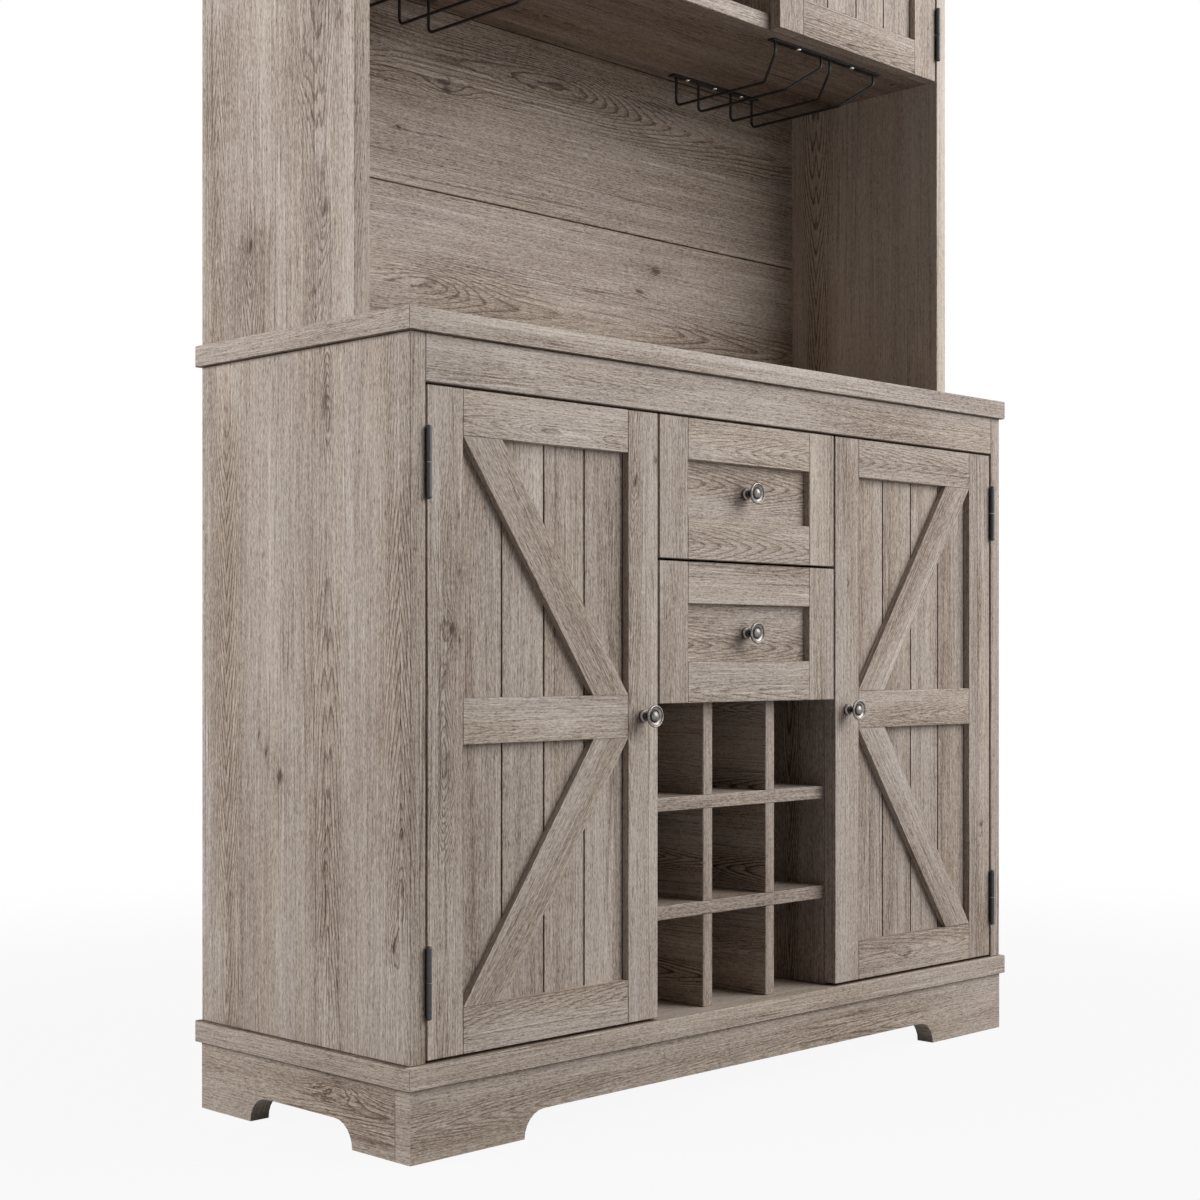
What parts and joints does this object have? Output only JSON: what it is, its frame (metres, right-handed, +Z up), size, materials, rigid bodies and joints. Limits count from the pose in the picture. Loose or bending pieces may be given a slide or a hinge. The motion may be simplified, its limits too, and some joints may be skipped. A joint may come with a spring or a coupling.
{
  "type": "coffee bar cabinet",
  "caption": "Tall coffee bar cabinet: framed plank doors with slanting braces, drawers, a wine rack, a serving bay and wire glass racks under an upper cupboard.",
  "frame": {"origin": "on the floor, at the middle of the cabinet's overall width and depth", "axes": "+X to the viewer's right, +Y from the doors to the back, +Z up"},
  "size_m": [1.13, 0.4178, 1.829],
  "materials": {
    "oak": "grey-brown oak grain, matt",
    "oak_inner": "plain grey-brown, matt",
    "black_metal": "satin black",
    "pewter": "aged pewter, satin"
  },
  "bodies": {
    "cabinet": {"base_back": "oak_inner", "base_board": "oak", "base_partition_left": "oak", "base_partition_right": "oak", "base_shelf_left": "oak_inner", "base_shelf_right": "oak_inner", "base_side_left": "oak", "base_side_right": "oak", "base_top_rail": "oak", "countertop": "oak", "drawer_bay_floor": "oak_inner", "glass_rack_left": "black_metal", "glass_rack_right": "black_metal", "hutch_back": "oak", "hutch_bottom": "oak", "hutch_partition_left": "oak", "hutch_partition_right": "oak", "hutch_side_left": "oak", "hutch_side_right": "oak", "hutch_top_board": "oak", "hutch_top_rail": "oak", "lower_left_door_bottom_hinge": "black_metal", "lower_left_door_top_hinge": "black_metal", "lower_right_door_bottom_hinge": "black_metal", "lower_right_door_top_hinge": "black_metal", "plinth_back": "oak", "plinth_front": "oak", "plinth_left": "oak", "plinth_right": "oak", "rack_divider_1": "oak", "rack_divider_2": "oak", "rack_shelf_1": "oak", "rack_shelf_2": "oak", "upper_left_door_bottom_hinge": "black_metal", "upper_left_door_top_hinge": "black_metal", "upper_right_door_bottom_hinge": "black_metal", "upper_right_door_top_hinge": "black_metal"},
    "lower_left_door": {"lower_left_door_braces": "oak", "lower_left_door_frame": "oak", "lower_left_door_knob": "pewter", "lower_left_door_panel": "oak"},
    "lower_right_door": {"lower_right_door_braces": "oak", "lower_right_door_frame": "oak", "lower_right_door_knob": "pewter", "lower_right_door_panel": "oak"},
    "lower_drawer": {"lower_drawer_box": "oak_inner", "lower_drawer_front_frame": "oak", "lower_drawer_front_panel": "oak", "lower_drawer_knob": "pewter"},
    "upper_left_door": {"upper_left_door_frame": "oak", "upper_left_door_knob": "pewter", "upper_left_door_panel": "oak"},
    "upper_right_door": {"upper_right_door_frame": "oak", "upper_right_door_knob": "pewter", "upper_right_door_panel": "oak"},
    "upper_drawer": {"upper_drawer_box": "oak_inner", "upper_drawer_front_frame": "oak", "upper_drawer_front_panel": "oak", "upper_drawer_knob": "pewter"}
  },
  "joints": [
    {"name": "lower_left_door_hinge", "type": "hinge", "parent": "cabinet", "child": "lower_left_door", "pos_m": [-0.5359, -0.19055, 0.1085], "axis": [0, 0, -1], "range_deg": [0, 170]},
    {"name": "lower_right_door_hinge", "type": "hinge", "parent": "cabinet", "child": "lower_right_door", "pos_m": [0.5359, -0.19055, 0.1085], "axis": [0, 0, 1], "range_deg": [0, 170]},
    {"name": "upper_left_door_hinge", "type": "hinge", "parent": "cabinet", "child": "upper_left_door", "pos_m": [-0.5359, -0.09555, 1.4003], "axis": [0, 0, -1], "range_deg": [0, 170]},
    {"name": "upper_right_door_hinge", "type": "hinge", "parent": "cabinet", "child": "upper_right_door", "pos_m": [0.5359, -0.09555, 1.4003], "axis": [0, 0, 1], "range_deg": [0, 170]},
    {"name": "lower_drawer_slide", "type": "slide", "parent": "cabinet", "child": "lower_drawer", "axis": [0, -1, 0], "range_m": [0, 0.26]},
    {"name": "upper_drawer_slide", "type": "slide", "parent": "cabinet", "child": "upper_drawer", "axis": [0, -1, 0], "range_m": [0, 0.26]}
  ]
}
